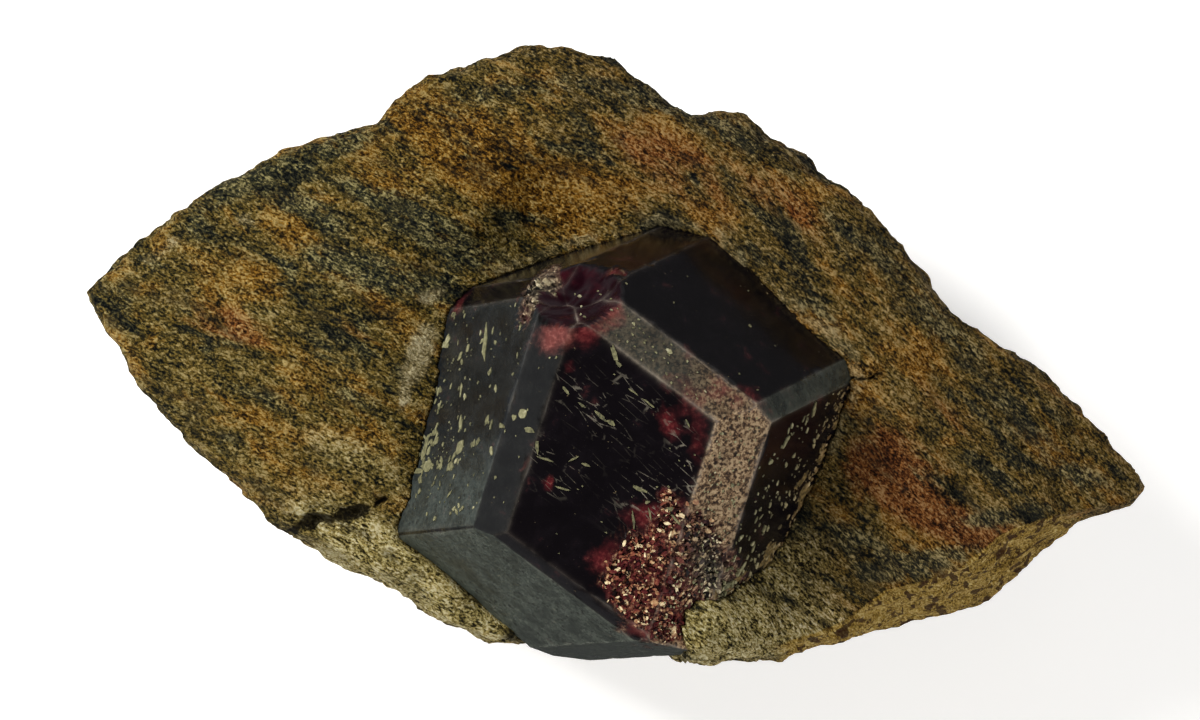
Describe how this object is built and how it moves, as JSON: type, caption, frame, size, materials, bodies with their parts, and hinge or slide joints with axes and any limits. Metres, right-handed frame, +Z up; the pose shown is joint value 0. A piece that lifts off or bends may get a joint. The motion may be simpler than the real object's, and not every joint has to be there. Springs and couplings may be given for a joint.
{
  "type": "garnet in matrix",
  "caption": "Dodecahedral garnet crystal with bevelled edges, half sunk in a rough broken slab of mica schist.",
  "frame": {"origin": "bottom centre of the specimen's bounding box", "axes": "+Z up from the underside the slab rests on, +X along the slab's longest extent with the slanted break face at the +X end, +Y towards the slab's wide back"},
  "size_m": [0.0798, 0.0458, 0.0359],
  "materials": {
    "garnet": "dark red almandine, glassy faces with pits, scratches and grains of matrix",
    "schist": "rough olive tan mica schist with grey green streaks and orange iron stains"
  },
  "bodies": {
    "root": {"garnet_crystal": "garnet", "schist_matrix": "schist"}
  },
  "joints": []
}
